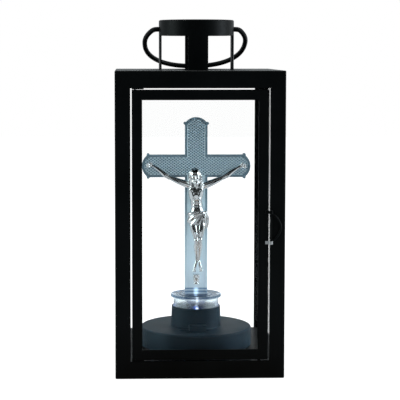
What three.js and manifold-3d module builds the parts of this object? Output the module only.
// A square table lantern in black sheet metal, with a glazed front door, a round chimney,
// a wire bail, and a loose LED lamp unit inside that carries a clear cross with a cast figure.
// Millimetres, +Z up, front face towards -Y, origin at the middle of the footprint.

import * as THREE from 'three';
import { mergeVertices } from 'three/addons/utils/BufferGeometryUtils.js';
import Module from 'manifold-3d';

const wasm = await Module();
wasm.setup();

// Sheet-metal housing
const HOUSING_WIDTH = 132;
const HOUSING_HEIGHT = 240;
const SHEET = 1;
const CORNER_RADIUS = 1.2;
const FOLD_RADIUS = 0.9;
const POST_LEG = 12;
const TRAY_HEIGHT = 14;
const TRAY_HEM = 5;
const ROOF_FLAP = 13.5;
const VENT_RADIUS = 23;

// Glass
const GLASS = 2;
const GLASS_PLAY = 0.3;
const PANE_OVERLAP = 10.5;
const TAB_WIDTH = 8;
const TAB_HEIGHT = 6;
const TAB_SPREAD = 60;
const TAB_SHEET = 1;

// Door
const DOOR_GAP = 1.1;
const DOOR_FRAME = 8;
const DOOR_DEPTH = 4.2;
const DOOR_SHEET = 0.8;
const DOOR_GLASS_LAP = 4;
const DOOR_TAB_LENGTH = 6.5;
const DOOR_TAB_WIDTH = 6;
const DOOR_TAB_SPREAD = 130;

// Hinge of the door
const HINGE_INSET = 2.7;
const HINGE_SETBACK = 2.4;
const HINGE_PIN_RADIUS = 0.9;
const HINGE_HEAD_RADIUS = 1.4;
const HINGE_HEAD = 0.8;
const HINGE_PLATE_WIDTH = 9.3;
const HINGE_PLATE_DEPTH = 5;
const HINGE_PLATE_SHEET = 0.8;
const HINGE_PLATE_RISE = 9;
const PIN_PROUD = 0.4;
const PIN_PLAY = 0.3;

// Stop behind the door
const STOP_WIDTH = 2.4;
const STOP_SHEET = 0.8;
const STOP_FOOT = 9;
const STOP_TOE = 3;
const STOP_RISE = 8;
const STOP_FROM_EDGE = 8;

// Wire pull on the door
const PULL_WIRE_RADIUS = 0.9;
const PULL_HEIGHT = 19;
const PULL_REACH = 7.8;
const PULL_SHOULDER = 2.6;
const PULL_KNEE_REACH = 6;
const PULL_KNEE_HEIGHT = 5.4;
const PULL_MIDDLE = 118.8;
const PULL_OUTBOARD = 0.6;
const PULL_POST_GAP = 0.4;
const KNUCKLE_HEIGHT = 2.4;
const KNUCKLE_SHEET = 0.5;
const KNUCKLE_PLAY = 0.25;
const KNUCKLE_TAB = 2.6;

// Chimney
const CHIMNEY_RADIUS = 30.5;
const CHIMNEY_HEIGHT = 40;
const CHIMNEY_SKIRT = 12.5;
const CHIMNEY_EDGE = 1.2;
const CHIMNEY_LEG = 16;
const CHIMNEY_TAB = 8;
const CHIMNEY_TOE = 4;
const SLOT_PLAY = 0.3;

// Bail
const BAIL_WIRE_RADIUS = 2;
const BAIL_HALF_WIDTH = 41.6;
const BAIL_REACH = 69.7;
const BAIL_SHOULDER = 31.6;
const BAIL_SHOULDER_RADIUS = 5;
const BAIL_PIVOT_DROP = 7.4;
const BAIL_FULLNESS = 2.3;
const BAIL_PLAY = 0.3;
const BAIL_END_INSET = 2.2;
const BAIL_HEAD_RADIUS = 2.9;
const BAIL_HEAD = 0.8;

// Lamp unit
const UNIT_RADIUS = 45.4;
const UNIT_HEIGHT = 15.2;
const UNIT_WALL = 1.2;
const UNIT_EDGE = 1.5;
const UNIT_FLOOR_PLAY = 0.3;
const COLLAR_RADIUS = 20.4;
const COLLAR_DRAFT = 0.5;
const COLLAR_HEIGHT = 16.6;
const COLLAR_WALL = 1.4;
const LEDGE_WIDTH = 1.8;
const LEDGE_RISE = 4.6;
const COVER_THICKNESS = 1.4;
const PART_PLAY = 0.3;

// Screws of the battery cover
const BOSS_RADIUS = 3;
const BOSS_X = 34;
const BOSS_Y = 8;
const SCREW_RADIUS = 1.2;
const SCREW_HEAD_RADIUS = 2.4;
const SCREW_HEAD = 0.8;
const SCREW_LENGTH = 8;
const SCREW_SLOT = 0.7;
const SCREW_SLOT_DEPTH = 0.35;

// Cells and contacts
const CELL_RADIUS = 5.2;
const CELL_LENGTH = 44.5;
const CELL_NUB_RADIUS = 1.9;
const CELL_NUB = 0.8;
const CELL_PITCH = 10.9;
const CELL_COUNT = 3;
const CELL_MIDDLE_Y = 13;
const CONTACT_SHEET = 0.4;
const CONTACT_HEIGHT = 7;
const RIB_THICKNESS = 1.2;

// Light source
const BOARD = 1.6;
const LED_RADIUS = 2.5;
const LED_FLANGE_RADIUS = 2.9;
const LED_HEIGHT = 8.6;
const WIRE_RADIUS = 0.6;
const WIRE_SPREAD = 4;

// Lens cup
const LENS_RADIUS = 18.4;
const LENS_WALL = 1.5;
const LENS_FLANGE_RADIUS = 20.7;
const LENS_FLANGE = 2.3;
const LENS_TOP = 41.6;
const LENS_TOP_WALL = 2.8;
const SOCKET_DEPTH = 1.2;

// Cross
const CROSS_BEAM = 18.4;
const CROSS_THICKNESS = 5.6;
const CROSS_SPAN = 88.6;
const CROSS_TOP = 187;
const CROSS_ARM_MIDDLE = 147.2;
const CROSS_END_RISE = 5;
const CROSS_END_STEPS = 8;
const CROSS_BEAD_RADIUS = 1.2;
const CROSS_BEAD_STEPS = 4;
const CROSS_EDGE = 0.4;
const CROSS_RIM = 1.8;
const CROSS_RECESS = 0.5;

// Figure on the cross, and the pegs that hold it and its foot rest
const HEAD_HEIGHT = 11.6;
const PEG_RADIUS = 0.8;
const PEG_DEPTH = 2;
const PEG_ROOT = 1;
const FOOT_PEG_ROOT = 3;
const REST_WIDTH = 5.4;
const REST_HEIGHT = 8.2;
const REST_DEPTH = 6;
const REST_GAP = 0.4;

// Joints of the figure in head heights: sideways, out of the cross, and up from the middle of its arms
const JOINTS = {
  crown: [-0.16, 0.62, -0.6],
  hair: [-0.1, 0.44, -0.92],
  chin: [-0.14, 0.8, -1.06],
  beard: [-0.12, 0.8, -1.42],
  neck: [-0.06, 0.42, -1.3],
  chest: [-0.03, 0.42, -1.86],
  waist: [0.05, 0.4, -2.75],
  hips: [0.07, 0.44, -3.42],
  knot: [0.58, 0.5, -3.2],
  knotEnd: [0.74, 0.44, -4.15],
  leftShoulder: [-0.62, 0.34, -1.34],
  leftElbow: [-1.92, 0.24, -0.76],
  leftWrist: [-2.98, 0.14, -0.02],
  leftHand: [-3.27, 0.12, 0.1],
  rightShoulder: [0.56, 0.34, -1.4],
  rightElbow: [1.93, 0.24, -0.76],
  rightWrist: [2.98, 0.14, -0.08],
  rightHand: [3.27, 0.12, 0.04],
  leftHip: [-0.3, 0.46, -3.75],
  leftKnee: [-0.02, 0.78, -5.2],
  leftAnkle: [0.04, 0.36, -6.85],
  leftToes: [0.0, 0.52, -7.5],
  rightHip: [0.42, 0.46, -3.75],
  rightKnee: [0.36, 0.74, -5.16],
  rightAnkle: [0.16, 0.52, -6.75],
  rightToes: [0.1, 0.66, -7.42],
};

// Girths of the figure, and the full sizes of its rounded masses in head heights
const SHOULDER_RADIUS = 3.1;
const ELBOW_RADIUS = 2.2;
const WRIST_RADIUS = 1.5;
const THIGH_RADIUS = 3.6;
const KNEE_RADIUS = 2.4;
const CALF_RADIUS = 2.5;
const ANKLE_RADIUS = 1.5;
const TOE_RADIUS = 1.3;
const JAW_RADIUS = 3.6;
const CHIN_RADIUS = 2.3;
const BEARD_RADIUS = 1.1;
const NECK_RADIUS = 2.8;
const RIB_RADIUS = 5;
const WAIST_RADIUS = 4.5;
const HIP_RADIUS = 5.4;
const KNOT_RADIUS = 2.2;
const KNOT_END_RADIUS = 1.3;
const SKULL_SIZE = [0.78, 0.86, 0.94];
const HAIR_SIZE = [1.04, 0.72, 1.3];
const CHEST_SIZE = [1.26, 0.88, 1.5];
const HIPS_SIZE = [1.3, 0.96, 1.16];
const HAND_SIZE = [0.8, 0.26, 0.42];

// Slide switch
const SLIDER_WIDTH = 13.8;
const SLIDER_DEPTH = 7.5;
const SLIDER_HEIGHT = 5.2;
const SLIDER_Y = -27.2;
const SLIDER_TRAVEL = 5;
const SLIDER_STEM_WIDTH = 7.4;
const SLIDER_STEM_DEPTH = 2.4;
const SLIDER_RETAINER_DEPTH = 5;
const SLIDER_RETAINER_EXTRA = 1.4;
const RECESS_DEPTH = 0.5;
const RECESS_MARGIN = 2.2;
const SWITCH_BOARD_X = -2.5;
const SWITCH_BOARD_WIDTH = 28;
const SWITCH_BOARD_DEPTH = 8;
const SWITCH_BOARD_Z = 5;
const SWITCH_MODULE_WIDTH = 12;
const SWITCH_MODULE_DEPTH = 5;
const SWITCH_BOSS_RADIUS = 1.5;
const SWITCH_BOSS_SPREAD = 23;

// Steps round a turned piece, and round thin ones
const ROUND_STEPS = 48;
const SMALL_STEPS = 16;
const WIRE_STEPS = 8;
const FOLD_STEPS = 3;
const OVAL_STEPS = 16;
const LIMB_STEPS = 10;
const WELD = 1e-4;

// Places worked out from the sizes above
const HALF = HOUSING_WIDTH / 2;
const INSIDE = HALF - SHEET;
const ROOF_UNDERSIDE = HOUSING_HEIGHT - SHEET;
const ROOF_LOWER = HOUSING_HEIGHT - ROOF_FLAP;
const OPENING = HALF - POST_LEG;
const PANE_BOTTOM = TRAY_HEIGHT + GLASS_PLAY;
const PANE_TOP = ROOF_LOWER + PANE_OVERLAP;
const PANE_OUTER = INSIDE - GLASS_PLAY;
const PANE_INNER = PANE_OUTER - GLASS;
const DOOR_LEFT = -OPENING + DOOR_GAP;
const DOOR_RIGHT = OPENING - DOOR_GAP;
const DOOR_BOTTOM = TRAY_HEIGHT + DOOR_GAP;
const DOOR_TOP = ROOF_LOWER - DOOR_GAP;
const DOOR_BACK = -HALF + DOOR_DEPTH;
const HINGE_X = DOOR_LEFT + HINGE_INSET;
const HINGE_Y = -HALF + HINGE_SETBACK;
const PULL_X = OPENING + PULL_OUTBOARD;
const PULL_Y = -HALF - PULL_WIRE_RADIUS - PULL_POST_GAP;
const KNUCKLE_OFFSET = PULL_HEIGHT / 2 + PULL_WIRE_RADIUS + KNUCKLE_PLAY + KNUCKLE_HEIGHT / 2;
const CHIMNEY_TOP = HOUSING_HEIGHT + CHIMNEY_HEIGHT;
const CHIMNEY_INNER = CHIMNEY_RADIUS - SHEET;
const PIVOT_Z = CHIMNEY_TOP - BAIL_PIVOT_DROP;
const UNIT_Z = TRAY_HEIGHT + UNIT_FLOOR_PLAY;
const COLLAR_TOP = UNIT_HEIGHT + COLLAR_HEIGHT;
const COLLAR_INNER = COLLAR_RADIUS - COLLAR_DRAFT - COLLAR_WALL;
const LEDGE_HEIGHT = UNIT_HEIGHT + LEDGE_RISE;
const CROSS_FOOT = LENS_TOP - SOCKET_DEPTH + PART_PLAY;
const CROSS_FACE = -CROSS_THICKNESS / 2;
const CELL_Z = COVER_THICKNESS + PART_PLAY + CELL_RADIUS;
const CELLS_FRONT = CELL_MIDDLE_Y - CELL_LENGTH / 2;
const CELLS_BACK = CELL_MIDDLE_Y + CELL_LENGTH / 2 + CELL_NUB;

function solidFrom(geometry) {
  const bare = geometry.clone();
  bare.deleteAttribute('normal');
  bare.deleteAttribute('uv');
  const welded = mergeVertices(bare, WELD);
  const corners = welded.index.array;
  const build = (first, second, third) => {
    const triangles = [];
    for (let i = 0; i < corners.length; i += 3) {
      const [a, b, c] = [corners[i + first], corners[i + second], corners[i + third]];
      if (a !== b && b !== c && c !== a) triangles.push(a, b, c);
    }
    const vertProperties = new Float32Array(welded.attributes.position.array);
    return new wasm.Manifold(
      new wasm.Mesh({ numProp: 3, vertProperties, triVerts: Uint32Array.from(triangles) }),
    );
  };
  const solid = build(0, 1, 2);
  return solid.volume() > 0 ? solid : build(0, 2, 1);
}

function geometryFrom(solid) {
  const { vertProperties, triVerts } = solid.getMesh();
  const indexed = new THREE.BufferGeometry();
  indexed.setAttribute('position', new THREE.BufferAttribute(vertProperties, 3));
  indexed.setIndex(new THREE.BufferAttribute(triVerts, 1));
  const flat = indexed.toNonIndexed();
  flat.computeVertexNormals();
  return flat;
}

function block([x0, x1], [y0, y1], [z0, z1]) {
  const geometry = new THREE.BoxGeometry(x1 - x0, y1 - y0, z1 - z0);
  geometry.translate((x0 + x1) / 2, (y0 + y1) / 2, (z0 + z1) / 2);
  return solidFrom(geometry);
}

function rod(radius, [z0, z1], steps = SMALL_STEPS) {
  const geometry = new THREE.CylinderGeometry(radius, radius, z1 - z0, steps);
  geometry.rotateX(Math.PI / 2);
  geometry.translate(0, 0, (z0 + z1) / 2);
  return solidFrom(geometry);
}

// The profile is a list of [radius, height] that starts and ends on the axis or closes on itself.
function turned(profile, steps = ROUND_STEPS) {
  const geometry = new THREE.LatheGeometry(
    profile.map(([radius, height]) => new THREE.Vector2(radius, height)),
    steps,
  );
  geometry.rotateX(Math.PI / 2);
  return solidFrom(geometry);
}

function arcPoints([centreX, centreY], radius, fromDegrees, toDegrees, steps = FOLD_STEPS) {
  return Array.from({ length: steps + 1 }, (_, i) => {
    const angle = THREE.MathUtils.degToRad(fromDegrees + ((toDegrees - fromDegrees) * i) / steps);
    return [centreX + radius * Math.cos(angle), centreY + radius * Math.sin(angle)];
  });
}

function ring(inner, outer, [z0, z1]) {
  return turned([[inner, z0], [outer, z0], [outer, z1], [inner, z1], [inner, z0]]);
}

function shapeOf(points) {
  return new THREE.Shape(points.map(([x, y]) => new THREE.Vector2(x, y)));
}

// A square plate with rounded corners in plan and folded edges above and below.
function foldedBlock(width, [z0, z1]) {
  const middle = width / 2 - CORNER_RADIUS;
  const corners = [[1, 1, 0], [-1, 1, 90], [-1, -1, 180], [1, -1, 270]];
  const outline = corners.flatMap(([sx, sy, start]) =>
    arcPoints([sx * middle, sy * middle], CORNER_RADIUS, start, start + 90),
  );
  const geometry = new THREE.ExtrudeGeometry(shapeOf(outline), {
    depth: z1 - z0 - 2 * FOLD_RADIUS,
    bevelThickness: FOLD_RADIUS,
    bevelSize: FOLD_RADIUS,
    bevelOffset: -FOLD_RADIUS,
    bevelSegments: FOLD_STEPS,
  });
  geometry.translate(0, 0, z0 + FOLD_RADIUS);
  return solidFrom(geometry);
}

// A round wire along a list of points.
function wire(points, radius, steps) {
  const path = new THREE.CatmullRomCurve3(points, false, 'centripetal');
  const section = shapeOf(arcPoints([0, 0], radius, 0, 360 - 360 / WIRE_STEPS, WIRE_STEPS - 1));
  return solidFrom(
    new THREE.ExtrudeGeometry(section, { steps, bevelEnabled: false, extrudePath: path }),
  );
}

function union(solids) {
  return solids.reduce((whole, solid) => whole.add(solid));
}

function cut(solid, tools) {
  return tools.reduce((rest, tool) => rest.subtract(tool), solid);
}

function turnedBy(solid, degrees) {
  return solid.rotate([0, 0, degrees]);
}

const QUARTERS = [0, 90, 180, 270];

// Housing

function cornerCutters([z0, z1]) {
  const beyond = HALF + 1;
  const along = block([OPENING, beyond], [INSIDE, beyond], [z0, z1]);
  const across = block([INSIDE, beyond], [OPENING, beyond], [z0, z1]);
  return QUARTERS.map((degrees) => turnedBy(along.add(across), degrees));
}

function paneTabs([z0, z1]) {
  const outer = PANE_INNER - GLASS_PLAY;
  return [90, 180, 270].flatMap((degrees) =>
    [-1, 1].map((side) => {
      const middle = (side * TAB_SPREAD) / 2;
      const tab = block(
        [middle - TAB_WIDTH / 2, middle + TAB_WIDTH / 2],
        [-outer, -outer + TAB_SHEET],
        [z0, z1],
      );
      return turnedBy(tab, degrees);
    }),
  );
}

function hingeHole([z0, z1]) {
  return rod(HINGE_PIN_RADIUS + PIN_PLAY, [z0, z1]).translate([HINGE_X, HINGE_Y, 0]);
}

function baseTray() {
  const floor = TRAY_HEIGHT - SHEET;
  const shell = foldedBlock(HOUSING_WIDTH, [0, TRAY_HEIGHT]);
  const inside = block([-INSIDE, INSIDE], [-INSIDE, INSIDE], [SHEET, floor]);
  const hemEdge = INSIDE - TRAY_HEM;
  const mouth = block([-hemEdge, hemEdge], [-hemEdge, hemEdge], [-1, SHEET + 1]);
  const tabs = paneTabs([floor, TRAY_HEIGHT + TAB_HEIGHT]);
  const tools = [
    inside,
    mouth,
    ...cornerCutters([-1, TRAY_HEIGHT + 1]),
    hingeHole([floor - 1, TRAY_HEIGHT + 1]),
  ];
  return union([cut(shell, tools), ...tabs]);
}

function chimneySlot([z0, z1], play) {
  const wall = ring(CHIMNEY_INNER - play, CHIMNEY_RADIUS + play, [z0, z1]);
  const reach = CHIMNEY_RADIUS + 2 * SHEET;
  const halfTab = CHIMNEY_TAB / 2 + play;
  const along = block([-reach, reach], [-halfTab, halfTab], [z0, z1]);
  return wall.intersect(along.add(turnedBy(along, 90)));
}

function roofPan() {
  const shell = foldedBlock(HOUSING_WIDTH, [ROOF_LOWER - 2 * FOLD_RADIUS, HOUSING_HEIGHT]);
  const beyond = HALF + 1;
  const belowEdge = block([-beyond, beyond], [-beyond, beyond], [ROOF_LOWER - 5, ROOF_LOWER]);
  const inside = block([-INSIDE, INSIDE], [-INSIDE, INSIDE], [ROOF_LOWER - 5, ROOF_UNDERSIDE]);
  const plate = [ROOF_UNDERSIDE - 1, HOUSING_HEIGHT + 1];
  const tools = [
    belowEdge,
    inside,
    ...cornerCutters([ROOF_LOWER - 5, ROOF_UNDERSIDE]),
    rod(VENT_RADIUS, plate, ROUND_STEPS),
    chimneySlot(plate, SLOT_PLAY),
  ];
  const tabs = paneTabs([PANE_TOP - TAB_HEIGHT / 2, ROOF_UNDERSIDE + SHEET / 2]);
  return union([cut(shell, tools), ...tabs]);
}

function cornerPost() {
  const outline = [
    [-HALF + POST_LEG, -HALF],
    [-HALF + POST_LEG, -INSIDE],
    [-INSIDE, -INSIDE],
    [-INSIDE, -HALF + POST_LEG],
    [-HALF, -HALF + POST_LEG],
    ...arcPoints([-HALF + CORNER_RADIUS, -HALF + CORNER_RADIUS], CORNER_RADIUS, 180, 270),
  ];
  return solidFrom(
    new THREE.ExtrudeGeometry(shapeOf(outline), { depth: ROOF_UNDERSIDE, bevelEnabled: false }),
  );
}

function sidePane() {
  return block([-PANE_OUTER, -PANE_INNER], [-PANE_OUTER, PANE_OUTER], [PANE_BOTTOM, PANE_TOP]);
}

function rearPane() {
  const halfWidth = PANE_INNER - GLASS_PLAY;
  return block([-halfWidth, halfWidth], [PANE_INNER, PANE_OUTER], [PANE_BOTTOM, PANE_TOP]);
}

function chimney() {
  const wallFoot = HOUSING_HEIGHT;
  const cup = turned([
    [0, CHIMNEY_TOP - SHEET],
    [CHIMNEY_INNER, CHIMNEY_TOP - SHEET],
    [CHIMNEY_INNER, wallFoot],
    [CHIMNEY_RADIUS, wallFoot],
    ...arcPoints([CHIMNEY_RADIUS - CHIMNEY_EDGE, CHIMNEY_TOP - CHIMNEY_EDGE], CHIMNEY_EDGE, 0, 90),
    [0, CHIMNEY_TOP],
  ]);
  const windowTop = CHIMNEY_TOP - CHIMNEY_SKIRT;
  const side = [CHIMNEY_LEG / 2, CHIMNEY_RADIUS + 1];
  const window = block(side, side, [wallFoot - 1, windowTop]);
  const pivotHole = rod(BAIL_WIRE_RADIUS + BAIL_PLAY, [-HALF, HALF])
    .rotate([0, 90, 0])
    .translate([0, 0, PIVOT_Z]);
  const tabBottom = ROOF_UNDERSIDE - PART_PLAY - SHEET;
  const toe = block(
    [CHIMNEY_RADIUS - SHEET / 2, CHIMNEY_RADIUS + CHIMNEY_TOE],
    [-CHIMNEY_TAB / 2, CHIMNEY_TAB / 2],
    [tabBottom, tabBottom + SHEET],
  );
  return union([
    cut(cup, [...QUARTERS.map((degrees) => turnedBy(window, degrees)), pivotHole]),
    chimneySlot([tabBottom, wallFoot + SHEET], 0),
    ...QUARTERS.map((degrees) => turnedBy(toe, degrees)),
  ]);
}

// The bail lies in the plane of u (sideways) and v (away from its pivots).
function bailPoints() {
  const fillet = BAIL_SHOULDER_RADIUS;
  const big = BAIL_HALF_WIDTH;
  const middle = fillet + Math.sqrt((big - fillet) ** 2 - BAIL_SHOULDER ** 2);
  const join = THREE.MathUtils.radToDeg(Math.atan2(fillet - middle, BAIL_SHOULDER));
  const pinEnd = CHIMNEY_INNER - BAIL_END_INSET;
  const pin = [[pinEnd, 0], [(pinEnd + BAIL_SHOULDER) / 2, 0]];
  const shoulder = arcPoints([BAIL_SHOULDER, fillet], fillet, -90, join, 4);
  const side = arcPoints([0, middle], big, join, 0, 6).slice(1);
  const bottom = Array.from({ length: 12 }, (_, i) => {
    const angle = ((i + 1) / 12) * (Math.PI / 2);
    const power = 2 / BAIL_FULLNESS;
    return [
      big * Math.abs(Math.cos(angle)) ** power,
      middle + (BAIL_REACH - middle) * Math.sin(angle) ** power,
    ];
  });
  bottom[bottom.length - 1][0] = 0;
  const half = [...pin, ...shoulder, ...side, ...bottom];
  const mirrored = half.slice(0, -1).reverse().map(([u, v]) => [-u, v]);
  return [...half, ...mirrored].map(([u, v]) => new THREE.Vector3(u, v, 0));
}

function bail() {
  const end = CHIMNEY_INNER - BAIL_END_INSET;
  const head = rod(BAIL_HEAD_RADIUS, [end - BAIL_HEAD / 2, end + BAIL_HEAD / 2]);
  return union([
    wire(bailPoints(), BAIL_WIRE_RADIUS, 60),
    head.rotate([0, 90, 0]),
    head.rotate([0, -90, 0]),
  ]);
}

function lowerHingePlate() {
  const plate = block(
    [DOOR_LEFT, DOOR_LEFT + HINGE_PLATE_WIDTH],
    [-INSIDE, -INSIDE + HINGE_PLATE_DEPTH],
    [TRAY_HEIGHT, TRAY_HEIGHT + HINGE_PLATE_SHEET],
  );
  return plate.subtract(hingeHole([TRAY_HEIGHT - 1, TRAY_HEIGHT + 2 * HINGE_PLATE_SHEET]));
}

function upperHingePlate() {
  const lower = DOOR_TOP + PIN_PLAY;
  const across = [DOOR_LEFT, DOOR_LEFT + HINGE_PLATE_WIDTH];
  const leaf = block(
    across,
    [-INSIDE, -INSIDE + HINGE_PLATE_DEPTH],
    [lower, lower + HINGE_PLATE_SHEET],
  );
  const back = block(
    across,
    [-INSIDE, -INSIDE + HINGE_PLATE_SHEET],
    [lower, ROOF_LOWER + HINGE_PLATE_RISE],
  );
  const holeTop = lower + HINGE_PLATE_SHEET + PIN_PROUD + PIN_PLAY;
  return leaf.add(back).subtract(hingeHole([lower - 1, holeTop]));
}

function doorStop() {
  const right = DOOR_RIGHT - STOP_FROM_EDGE + STOP_WIDTH;
  const across = [right - STOP_WIDTH, right];
  const face = DOOR_BACK + PART_PLAY;
  const foot = block(across, [face - STOP_TOE, face + STOP_FOOT], [0, STOP_SHEET]);
  const rise = block(across, [face, face + STOP_SHEET], [0, STOP_RISE]);
  return foot.add(rise);
}

// Door

function doorFrame() {
  const outer = block([DOOR_LEFT, DOOR_RIGHT], [-HALF, DOOR_BACK], [DOOR_BOTTOM, DOOR_TOP]);
  const channel = block(
    [DOOR_LEFT + DOOR_SHEET, DOOR_RIGHT - DOOR_SHEET],
    [-HALF + DOOR_SHEET, DOOR_BACK + 1],
    [DOOR_BOTTOM + DOOR_SHEET, DOOR_TOP - DOOR_SHEET],
  );
  const window = block(
    [DOOR_LEFT + DOOR_FRAME, DOOR_RIGHT - DOOR_FRAME],
    [-HALF - 1, DOOR_BACK],
    [DOOR_BOTTOM + DOOR_FRAME, DOOR_TOP - DOOR_FRAME],
  );
  const pinHole = hingeHole([DOOR_BOTTOM - 1, DOOR_TOP + 1]);
  const frame = cut(outer, [channel, window, pinHole]);
  return union([frame, ...doorTabs()]);
}

function doorTabs() {
  const depth = [DOOR_BACK - DOOR_SHEET, DOOR_BACK];
  const middle = (DOOR_BOTTOM + DOOR_TOP) / 2;
  const sides = [-1, 1].flatMap((up) => {
    const z = middle + (up * DOOR_TAB_SPREAD) / 2;
    const height = [z - DOOR_TAB_WIDTH / 2, z + DOOR_TAB_WIDTH / 2];
    return [
      block([DOOR_LEFT, DOOR_LEFT + DOOR_TAB_LENGTH], depth, height),
      block([DOOR_RIGHT - DOOR_TAB_LENGTH, DOOR_RIGHT], depth, height),
    ];
  });
  const across = [-DOOR_TAB_WIDTH / 2, DOOR_TAB_WIDTH / 2];
  return [
    ...sides,
    block(across, depth, [DOOR_BOTTOM, DOOR_BOTTOM + DOOR_TAB_LENGTH]),
    block(across, depth, [DOOR_TOP - DOOR_TAB_LENGTH, DOOR_TOP]),
  ];
}

function doorGlass() {
  const margin = DOOR_FRAME - DOOR_GLASS_LAP;
  const front = -HALF + DOOR_SHEET + GLASS_PLAY;
  return block(
    [DOOR_LEFT + margin, DOOR_RIGHT - margin],
    [front, front + GLASS],
    [DOOR_BOTTOM + margin, DOOR_TOP - margin],
  );
}

function lowerHingePin() {
  const seat = DOOR_BOTTOM + DOOR_SHEET;
  const shank = rod(HINGE_PIN_RADIUS, [TRAY_HEIGHT - 2 * SHEET, seat + HINGE_HEAD / 2]);
  return shank.add(rod(HINGE_HEAD_RADIUS, [seat, seat + HINGE_HEAD]));
}

function upperHingePin() {
  const seat = DOOR_TOP - DOOR_SHEET;
  const reach = DOOR_TOP + PIN_PLAY + HINGE_PLATE_SHEET + PIN_PROUD;
  const shank = rod(HINGE_PIN_RADIUS, [seat - HINGE_HEAD / 2, reach]);
  return shank.add(rod(HINGE_HEAD_RADIUS, [seat - HINGE_HEAD, seat]));
}

// A strip curled round the pull's wire, open towards the post behind it.
function knuckle() {
  const inner = PULL_WIRE_RADIUS + KNUCKLE_PLAY;
  const outer = inner + KNUCKLE_SHEET;
  const height = [-KNUCKLE_HEIGHT / 2, KNUCKLE_HEIGHT / 2];
  const back = -HALF - PULL_Y;
  const curl = rod(outer, height, SMALL_STEPS);
  const tabEnd = -outer + KNUCKLE_SHEET;
  const tab = block([-outer - KNUCKLE_TAB, tabEnd], [back - KNUCKLE_SHEET, back], height);
  const bore = rod(inner, [-KNUCKLE_HEIGHT, KNUCKLE_HEIGHT], SMALL_STEPS);
  const postSide = block([-outer, HALF], [back - PART_PLAY, HALF], [-HALF, HALF]);
  return cut(curl, [bore, postSide]).add(tab.subtract(bore));
}

// A bent loop whose two ends are welded to an upright pin.
function doorPull() {
  const half = PULL_HEIGHT / 2;
  const upper = [[0, half], [PULL_SHOULDER, half], [PULL_KNEE_REACH, PULL_KNEE_HEIGHT]];
  const lower = [...upper].reverse().map(([x, z]) => [x, -z]);
  const points = [...upper, [PULL_REACH, 0], ...lower];
  const loop = wire(points.map(([x, z]) => new THREE.Vector3(x, 0, z)), PULL_WIRE_RADIUS, 30);
  const pinHalf = KNUCKLE_OFFSET + KNUCKLE_HEIGHT / 2 + PIN_PROUD;
  return loop.add(rod(PULL_WIRE_RADIUS, [-pinHalf, pinHalf], WIRE_STEPS));
}

// Lamp unit, modelled from its own underside upwards

function switchSlot() {
  const halfStem = SLIDER_STEM_WIDTH / 2 + PART_PLAY;
  const halfCap = SLIDER_WIDTH / 2;
  const halfStemDepth = SLIDER_STEM_DEPTH / 2 + PART_PLAY;
  const halfCapDepth = SLIDER_DEPTH / 2 + PART_PLAY;
  const slot = block(
    [-halfStem - SLIDER_TRAVEL, halfStem],
    [SLIDER_Y - halfStemDepth, SLIDER_Y + halfStemDepth],
    [UNIT_HEIGHT - 2 * UNIT_WALL, UNIT_HEIGHT + 1],
  );
  const recess = block(
    [-halfCap - SLIDER_TRAVEL - RECESS_MARGIN, halfCap + RECESS_MARGIN],
    [SLIDER_Y - halfCapDepth, SLIDER_Y + halfCapDepth],
    [UNIT_HEIGHT - RECESS_DEPTH, UNIT_HEIGHT + 1],
  );
  return slot.add(recess);
}

function cellRib(y0) {
  const halfWidth = (CELL_COUNT * CELL_PITCH) / 2;
  return block(
    [-halfWidth, halfWidth],
    [y0, y0 + RIB_THICKNESS],
    [COVER_THICKNESS + PART_PLAY, UNIT_HEIGHT - UNIT_WALL / 2],
  );
}

function frontContactY() {
  return CELLS_FRONT - PART_PLAY - CONTACT_SHEET;
}

function backContactY() {
  return CELLS_BACK + PART_PLAY;
}

function unitHousing() {
  const ceiling = UNIT_HEIGHT - UNIT_WALL;
  const shell = turned([
    [UNIT_RADIUS - UNIT_WALL, 0],
    [UNIT_RADIUS, 0],
    ...arcPoints([UNIT_RADIUS - UNIT_EDGE, UNIT_HEIGHT - UNIT_EDGE], UNIT_EDGE, 0, 90),
    [COLLAR_RADIUS, UNIT_HEIGHT],
    [COLLAR_RADIUS - COLLAR_DRAFT, COLLAR_TOP],
    [COLLAR_INNER, COLLAR_TOP],
    [COLLAR_INNER, LEDGE_HEIGHT],
    [COLLAR_INNER - LEDGE_WIDTH, LEDGE_HEIGHT],
    [COLLAR_INNER - LEDGE_WIDTH, ceiling],
    [UNIT_RADIUS - UNIT_WALL, ceiling],
    [UNIT_RADIUS - UNIT_WALL, 0],
  ]);
  const bossFoot = COVER_THICKNESS + PART_PLAY;
  const boss = rod(BOSS_RADIUS, [bossFoot, UNIT_HEIGHT - UNIT_WALL / 2]);
  const bossBore = rod(SCREW_RADIUS + PART_PLAY, [bossFoot - 1, SCREW_LENGTH + 1]);
  const boardTop = SWITCH_BOARD_Z + BOARD;
  const boardBoss = rod(SWITCH_BOSS_RADIUS, [boardTop, UNIT_HEIGHT - UNIT_WALL / 2]);
  const sides = [-1, 1];
  return cut(
    union([
      shell,
      ...sides.map((side) => boss.translate([side * BOSS_X, BOSS_Y, 0])),
      ...sides.map((side) =>
        boardBoss.translate([SWITCH_BOARD_X + (side * SWITCH_BOSS_SPREAD) / 2, SLIDER_Y, 0]),
      ),
      cellRib(frontContactY() - RIB_THICKNESS),
      cellRib(backContactY() + CONTACT_SHEET),
    ]),
    [switchSlot(), ...sides.map((side) => bossBore.translate([side * BOSS_X, BOSS_Y, 0]))],
  );
}

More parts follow.
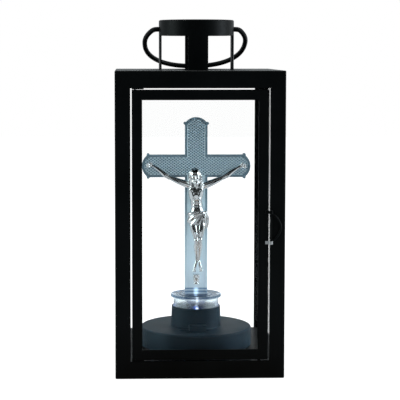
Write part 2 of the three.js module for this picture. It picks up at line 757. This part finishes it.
function batteryCover() {
  const plate = rod(UNIT_RADIUS - UNIT_WALL - PART_PLAY, [0, COVER_THICKNESS], ROUND_STEPS);
  const hole = rod(SCREW_RADIUS + PART_PLAY, [-1, COVER_THICKNESS + 1]);
  const sink = rod(SCREW_HEAD_RADIUS + PART_PLAY, [-1, SCREW_HEAD]);
  const screwSeat = hole.add(sink);
  return cut(plate, [-1, 1].map((side) => screwSeat.translate([side * BOSS_X, BOSS_Y, 0])));
}

function coverScrew() {
  const head = rod(SCREW_HEAD_RADIUS, [0, SCREW_HEAD]);
  const shank = rod(SCREW_RADIUS, [SCREW_HEAD / 2, SCREW_LENGTH]);
  const slot = block(
    [-SCREW_HEAD_RADIUS, SCREW_HEAD_RADIUS],
    [-SCREW_SLOT / 2, SCREW_SLOT / 2],
    [-1, SCREW_SLOT_DEPTH],
  );
  return head.add(shank).subtract(slot);
}

function cell() {
  const can = rod(CELL_RADIUS, [0, CELL_LENGTH]);
  return can.add(rod(CELL_NUB_RADIUS, [CELL_LENGTH / 2, CELL_LENGTH + CELL_NUB])).rotate([-90, 0, 0]);
}

function contact() {
  const halfWidth = (CELL_COUNT * CELL_PITCH) / 2 - 1;
  return block(
    [-halfWidth, halfWidth],
    [0, CONTACT_SHEET],
    [-CONTACT_HEIGHT / 2, CONTACT_HEIGHT / 2],
  );
}

function ledLamp() {
  const dome = arcPoints([0, LED_HEIGHT - LED_RADIUS], LED_RADIUS, 0, 90, 5);
  return turned([[0, 0], [LED_FLANGE_RADIUS, 0], [LED_FLANGE_RADIUS, 1], [LED_RADIUS, 1], ...dome], 16);
}

function feedWire(side) {
  const board = LEDGE_HEIGHT - PART_PLAY;
  const lower = frontContactY() - RIB_THICKNESS - WIRE_RADIUS - PART_PLAY;
  const x = side * WIRE_SPREAD;
  const path = [
    [x * 2, lower, CELL_Z],
    [x * 2, lower - 1, UNIT_HEIGHT - 3],
    [x, lower - 0.5, UNIT_HEIGHT + 2],
    [x, lower + 2, board],
  ];
  return wire(path.map(([px, py, pz]) => new THREE.Vector3(px, py, pz)), WIRE_RADIUS, 12);
}

function lensCup() {
  const foot = LEDGE_HEIGHT + BOARD + PART_PLAY;
  const bore = LENS_RADIUS - LENS_WALL;
  const flangeFoot = LENS_TOP - LENS_FLANGE;
  const edge = LENS_FLANGE / 4;
  const flange = LENS_FLANGE_RADIUS;
  const cup = turned([
    [0, LENS_TOP - LENS_TOP_WALL],
    [bore, LENS_TOP - LENS_TOP_WALL],
    [bore, foot],
    [LENS_RADIUS, foot],
    [LENS_RADIUS, flangeFoot],
    [flange - edge, flangeFoot],
    [flange, flangeFoot + edge],
    ...arcPoints([flange - edge, LENS_TOP - edge], edge, 0, 90),
    [0, LENS_TOP],
  ]);
  const halfBeam = CROSS_BEAM / 2 + PART_PLAY;
  const halfDeep = CROSS_THICKNESS / 2 + PART_PLAY;
  const socket = block(
    [-halfBeam, halfBeam],
    [-halfDeep, halfDeep],
    [LENS_TOP - SOCKET_DEPTH, LENS_TOP + 1],
  );
  return cup.subtract(socket);
}

// A beam's round end between two corner beads, with the beam running along the first axis.
function beamEnd(reach, half, bead) {
  const radius = (half ** 2 + CROSS_END_RISE ** 2) / (2 * CROSS_END_RISE);
  const spread = THREE.MathUtils.radToDeg(Math.asin(half / radius));
  const end = arcPoints([reach - radius, 0], radius, -spread, spread, CROSS_END_STEPS);
  if (!bead) return end;
  const corner = reach - CROSS_END_RISE;
  return [
    ...arcPoints([corner, -half], bead, 180, 330, CROSS_BEAD_STEPS),
    ...end.slice(1, -1),
    ...arcPoints([corner, half], bead, 30, 180, CROSS_BEAD_STEPS),
  ];
}

// The outline runs round the foot, the right arm, the head and the left arm.
function crossOutline(inset, bead) {
  const beam = CROSS_BEAM / 2 - inset;
  const arm = CROSS_ARM_MIDDLE;
  const sideEnd = beamEnd(CROSS_SPAN / 2 - inset, beam, bead);
  const topEnd = beamEnd(CROSS_TOP - arm - inset, beam, bead);
  return [
    [-beam, CROSS_FOOT + inset],
    [beam, CROSS_FOOT + inset],
    [beam, arm - beam],
    ...sideEnd.map(([u, v]) => [u, arm + v]),
    [beam, arm + beam],
    ...topEnd.map(([u, v]) => [-v, arm + u]),
    [-beam, arm + beam],
    ...sideEnd.map(([u, v]) => [-u, arm - v]),
    [-beam, arm - beam],
  ];
}

function upright(outline, thickness, bevel) {
  const geometry = new THREE.ExtrudeGeometry(shapeOf(outline), {
    depth: thickness - 2 * bevel,
    bevelEnabled: bevel > 0,
    bevelThickness: bevel,
    bevelSize: bevel,
    bevelOffset: -bevel,
    bevelSegments: 1,
  });
  geometry.translate(0, 0, bevel);
  geometry.rotateX(Math.PI / 2);
  return solidFrom(geometry);
}

// A joint of the figure, measured from the middle of the cross's arms and from its recessed face.
function joint(name) {
  const [sideways, outwards, upwards] = JOINTS[name];
  return [sideways * HEAD_HEIGHT, -outwards * HEAD_HEIGHT, upwards * HEAD_HEIGHT];
}

function pegPlaces() {
  const above = ([x, , z]) => [x, CROSS_ARM_MIDDLE + z];
  const toes = JOINTS.leftToes[2] * HEAD_HEIGHT;
  return {
    leftHand: above(joint('leftHand')),
    rightHand: above(joint('rightHand')),
    feet: above(joint('leftAnkle')),
    footRest: [0, CROSS_ARM_MIDDLE + toes - TOE_RADIUS - REST_GAP - REST_HEIGHT / 2],
  };
}

function peg([x, z], radius, front, back) {
  return rod(radius, [-back, -front], SMALL_STEPS / 2).rotate([90, 0, 0]).translate([x, 0, z]);
}

function crossBody() {
  const outline = crossOutline(0, CROSS_BEAD_RADIUS);
  const body = upright(outline, CROSS_THICKNESS, CROSS_EDGE).translate([0, CROSS_THICKNESS / 2, 0]);
  const field = upright(crossOutline(CROSS_RIM, 0), 2 * CROSS_RECESS, 0);
  const holes = Object.values(pegPlaces()).map((place) =>
    peg(place, PEG_RADIUS + PART_PLAY, CROSS_FACE - 1, CROSS_FACE + PEG_DEPTH + PART_PLAY),
  );
  return cut(body, [field.translate([0, CROSS_FACE + CROSS_RECESS, 0]), ...holes]);
}

function oval([x, y, z], [rx, ry, rz]) {
  const geometry = new THREE.SphereGeometry(1, OVAL_STEPS, OVAL_STEPS / 2);
  geometry.rotateX(Math.PI / 2);
  geometry.scale(rx, ry, rz);
  geometry.translate(x, y, z);
  return solidFrom(geometry);
}

function limb(from, to, fromRadius, toRadius) {
  const start = new THREE.Vector3(...from);
  const end = new THREE.Vector3(...to);
  const length = start.distanceTo(end);
  const profile = [
    ...arcPoints([0, 0], fromRadius, -90, 0, FOLD_STEPS),
    ...arcPoints([0, length], toRadius, 0, 90, FOLD_STEPS),
  ].map(([radius, height]) => new THREE.Vector2(Math.max(radius, 0), height));
  profile[0].x = 0;
  profile[profile.length - 1].x = 0;
  const geometry = new THREE.LatheGeometry(profile, LIMB_STEPS);
  const along = end.sub(start).normalize();
  geometry.applyQuaternion(
    new THREE.Quaternion().setFromUnitVectors(new THREE.Vector3(0, 1, 0), along),
  );
  geometry.translate(...start.toArray());
  return solidFrom(geometry);
}

function bodyOval(name, [width, depth, height]) {
  const half = HEAD_HEIGHT / 2;
  return oval(joint(name), [width * half, depth * half, height * half]);
}

function bodyLimb(from, to, fromRadius, toRadius) {
  return limb(joint(from), joint(to), fromRadius, toRadius);
}

function armsAndLegs(side) {
  return [
    bodyLimb(`${side}Shoulder`, `${side}Elbow`, SHOULDER_RADIUS, ELBOW_RADIUS),
    bodyLimb(`${side}Elbow`, `${side}Wrist`, ELBOW_RADIUS, WRIST_RADIUS),
    bodyLimb(`${side}Wrist`, `${side}Hand`, WRIST_RADIUS, WRIST_RADIUS),
    bodyOval(`${side}Hand`, HAND_SIZE),
    bodyLimb(`${side}Hip`, `${side}Knee`, THIGH_RADIUS, KNEE_RADIUS),
    bodyLimb(`${side}Knee`, `${side}Ankle`, CALF_RADIUS, ANKLE_RADIUS),
    bodyLimb(`${side}Ankle`, `${side}Toes`, ANKLE_RADIUS, TOE_RADIUS),
  ];
}

function crossFigure() {
  const pieces = [
    bodyOval('crown', SKULL_SIZE),
    bodyOval('hair', HAIR_SIZE),
    bodyLimb('crown', 'chin', JAW_RADIUS, CHIN_RADIUS),
    bodyLimb('chin', 'beard', CHIN_RADIUS, BEARD_RADIUS),
    bodyLimb('crown', 'neck', NECK_RADIUS, NECK_RADIUS),
    bodyLimb('leftShoulder', 'rightShoulder', SHOULDER_RADIUS, SHOULDER_RADIUS),
    bodyOval('chest', CHEST_SIZE),
    bodyLimb('chest', 'waist', RIB_RADIUS, WAIST_RADIUS),
    bodyLimb('waist', 'hips', WAIST_RADIUS, HIP_RADIUS),
    bodyOval('hips', HIPS_SIZE),
    bodyLimb('knot', 'knotEnd', KNOT_RADIUS, KNOT_END_RADIUS),
    ...armsAndLegs('left'),
    ...armsAndLegs('right'),
  ];
  const behind = block([-HALF, HALF], [0, HALF], [-CROSS_TOP, CROSS_TOP]);
  const face = CROSS_FACE + CROSS_RECESS - PART_PLAY;
  const body = union(pieces).subtract(behind).translate([0, face, CROSS_ARM_MIDDLE]);
  const back = CROSS_FACE + PEG_DEPTH;
  const { leftHand, rightHand, feet } = pegPlaces();
  return union([
    body,
    peg(leftHand, PEG_RADIUS, face - PEG_ROOT, back),
    peg(rightHand, PEG_RADIUS, face - PEG_ROOT, back),
    peg(feet, PEG_RADIUS, face - FOOT_PEG_ROOT, back),
  ]);
}

function footRest() {
  const place = pegPlaces().footRest;
  const [x, z] = place;
  const face = CROSS_FACE + CROSS_RECESS - PART_PLAY;
  const body = block(
    [x - REST_WIDTH / 2, x + REST_WIDTH / 2],
    [face - REST_DEPTH, face],
    [z - REST_HEIGHT / 2, z + REST_HEIGHT / 2],
  );
  return body.add(peg(place, PEG_RADIUS, face - PEG_ROOT, CROSS_FACE + PEG_DEPTH));
}

function switchSlider() {
  const capFoot = UNIT_HEIGHT - RECESS_DEPTH + PART_PLAY;
  const ceiling = UNIT_HEIGHT - UNIT_WALL;
  const cap = block(
    [-SLIDER_WIDTH / 2, SLIDER_WIDTH / 2],
    [-SLIDER_DEPTH / 2, SLIDER_DEPTH / 2],
    [capFoot, UNIT_HEIGHT + SLIDER_HEIGHT],
  );
  const retainerTop = ceiling - PART_PLAY;
  const stem = block(
    [-SLIDER_STEM_WIDTH / 2, SLIDER_STEM_WIDTH / 2],
    [-SLIDER_STEM_DEPTH / 2, SLIDER_STEM_DEPTH / 2],
    [retainerTop - UNIT_WALL, capFoot + 1],
  );
  const halfRetainer = SLIDER_STEM_WIDTH / 2 + SLIDER_RETAINER_EXTRA;
  const retainer = block(
    [-halfRetainer, halfRetainer],
    [-SLIDER_RETAINER_DEPTH / 2, SLIDER_RETAINER_DEPTH / 2],
    [retainerTop - UNIT_WALL, retainerTop],
  );
  return union([cap, stem, retainer]);
}

function switchBoard() {
  const half = SWITCH_BOARD_WIDTH / 2;
  return block(
    [-half, half],
    [-SWITCH_BOARD_DEPTH / 2, SWITCH_BOARD_DEPTH / 2],
    [SWITCH_BOARD_Z, SWITCH_BOARD_Z + BOARD],
  );
}

function switchModule() {
  const foot = SWITCH_BOARD_Z + BOARD;
  const top = UNIT_HEIGHT - 2 * UNIT_WALL - 2 * PART_PLAY;
  const half = SWITCH_MODULE_WIDTH / 2;
  return block(
    [-half, half],
    [-SWITCH_MODULE_DEPTH / 2, SWITCH_MODULE_DEPTH / 2],
    [foot, top],
  );
}

// Finishes

const blackPaint = { color: 0x15171a, roughness: 0.45, metalness: 0.4 };
const bareSteel = { color: 0xb9bcc0, roughness: 0.35, metalness: 1 };
const clearGlass = { color: 0xdfe8ec, roughness: 0.05, metalness: 0, transparent: true, opacity: 0.25 };
const darkPlastic = { color: 0x2c363d, roughness: 0.5, metalness: 0 };
const clearPlastic = { color: 0x9fc0d8, roughness: 0.15, metalness: 0, transparent: true, opacity: 0.6 };
const plated = { color: 0xd0d3d6, roughness: 0.15, metalness: 1 };
const cellSleeve = { color: 0x3a5f45, roughness: 0.4, metalness: 0.1 };
const circuit = { color: 0x1f5a3a, roughness: 0.5, metalness: 0 };
const spring = { color: 0xc8b46a, roughness: 0.3, metalness: 1 };
const redLead = { color: 0xa02020, roughness: 0.6, metalness: 0 };
const blackLead = { color: 0x111111, roughness: 0.6, metalness: 0 };
const ledEpoxy = { color: 0xf2f6ff, roughness: 0.2, metalness: 0, transparent: true, opacity: 0.8 };

function piece(name, solid, finish, place = [0, 0, 0]) {
  const mesh = new THREE.Mesh(geometryFrom(solid), new THREE.MeshStandardMaterial(finish));
  mesh.name = name;
  mesh.position.set(...place);
  return mesh;
}

function housing() {
  const group = new THREE.Group();
  group.add(piece('base_tray', baseTray(), blackPaint));
  group.add(piece('roof_pan', roofPan(), blackPaint));
  const posts = ['front_left', 'front_right', 'rear_right', 'rear_left'];
  posts.forEach((corner, quarter) => {
    const post = piece(`post_${corner}`, cornerPost(), blackPaint);
    post.rotation.z = (quarter * Math.PI) / 2;
    group.add(post);
  });
  group.add(piece('glass_left', sidePane(), clearGlass));
  const right = piece('glass_right', sidePane(), clearGlass);
  right.rotation.z = Math.PI;
  group.add(right);
  group.add(piece('glass_rear', rearPane(), clearGlass));
  group.add(piece('chimney', chimney(), blackPaint));
  group.add(piece('hinge_plate_lower', lowerHingePlate(), blackPaint));
  group.add(piece('hinge_plate_upper', upperHingePlate(), blackPaint));
  group.add(piece('door_stop', doorStop(), blackPaint, [0, 0, TRAY_HEIGHT]));
  return group;
}

function handle() {
  const mesh = piece('bail', bail(), blackPaint, [0, 0, PIVOT_Z]);
  const restDrop = PIVOT_Z - HOUSING_HEIGHT - BAIL_WIRE_RADIUS - BAIL_PLAY;
  mesh.rotation.x = -Math.asin(restDrop / BAIL_REACH);
  return mesh;
}

function door() {
  const group = new THREE.Group();
  group.add(piece('door_frame', doorFrame(), blackPaint));
  group.add(piece('door_glass', doorGlass(), clearGlass));
  group.add(piece('hinge_pin_lower', lowerHingePin(), bareSteel, [HINGE_X, HINGE_Y, 0]));
  group.add(piece('hinge_pin_upper', upperHingePin(), bareSteel, [HINGE_X, HINGE_Y, 0]));
  const knuckles = { pull_knuckle_lower: -KNUCKLE_OFFSET, pull_knuckle_upper: KNUCKLE_OFFSET };
  for (const [name, offset] of Object.entries(knuckles)) {
    group.add(piece(name, knuckle(), bareSteel, [PULL_X, PULL_Y, PULL_MIDDLE + offset]));
  }
  group.add(piece('door_pull', doorPull(), blackPaint, [PULL_X, PULL_Y, PULL_MIDDLE]));
  return group;
}

function lampUnit() {
  const group = new THREE.Group();
  group.position.z = UNIT_Z;
  group.add(piece('unit_housing', unitHousing(), darkPlastic));
  group.add(piece('battery_cover', batteryCover(), darkPlastic));
  group.add(piece('cover_screw_left', coverScrew(), bareSteel, [-BOSS_X, BOSS_Y, 0]));
  group.add(piece('cover_screw_right', coverScrew(), bareSteel, [BOSS_X, BOSS_Y, 0]));
  for (let i = 0; i < CELL_COUNT; i += 1) {
    const x = (i - (CELL_COUNT - 1) / 2) * CELL_PITCH;
    group.add(piece(`battery_${i + 1}`, cell(), cellSleeve, [x, CELLS_FRONT, CELL_Z]));
  }
  group.add(piece('contact_front', contact(), spring, [0, frontContactY(), CELL_Z]));
  group.add(piece('contact_rear', contact(), spring, [0, backContactY(), CELL_Z]));
  const board = rod(COLLAR_INNER - PART_PLAY, [LEDGE_HEIGHT, LEDGE_HEIGHT + BOARD], ROUND_STEPS);
  group.add(piece('circuit_board', board, circuit));
  group.add(piece('led', ledLamp(), ledEpoxy, [0, 0, LEDGE_HEIGHT + BOARD]));
  group.add(piece('wire_positive', feedWire(1), redLead));
  group.add(piece('wire_negative', feedWire(-1), blackLead));
  group.add(piece('lens_cup', lensCup(), clearPlastic));
  group.add(piece('cross_body', crossBody(), clearPlastic));
  group.add(piece('cross_figure', crossFigure(), plated));
  group.add(piece('foot_rest', footRest(), plated));
  const boardPlace = [SWITCH_BOARD_X, SLIDER_Y, 0];
  group.add(piece('switch_board', switchBoard(), circuit, boardPlace));
  group.add(piece('switch_module', switchModule(), bareSteel, boardPlace));
  group.add(piece('switch_slider', switchSlider(), darkPlastic, [0, SLIDER_Y, 0]));
  return group;
}

const lantern = new THREE.Group();
lantern.add(housing(), handle(), door(), lampUnit());

export default lantern;
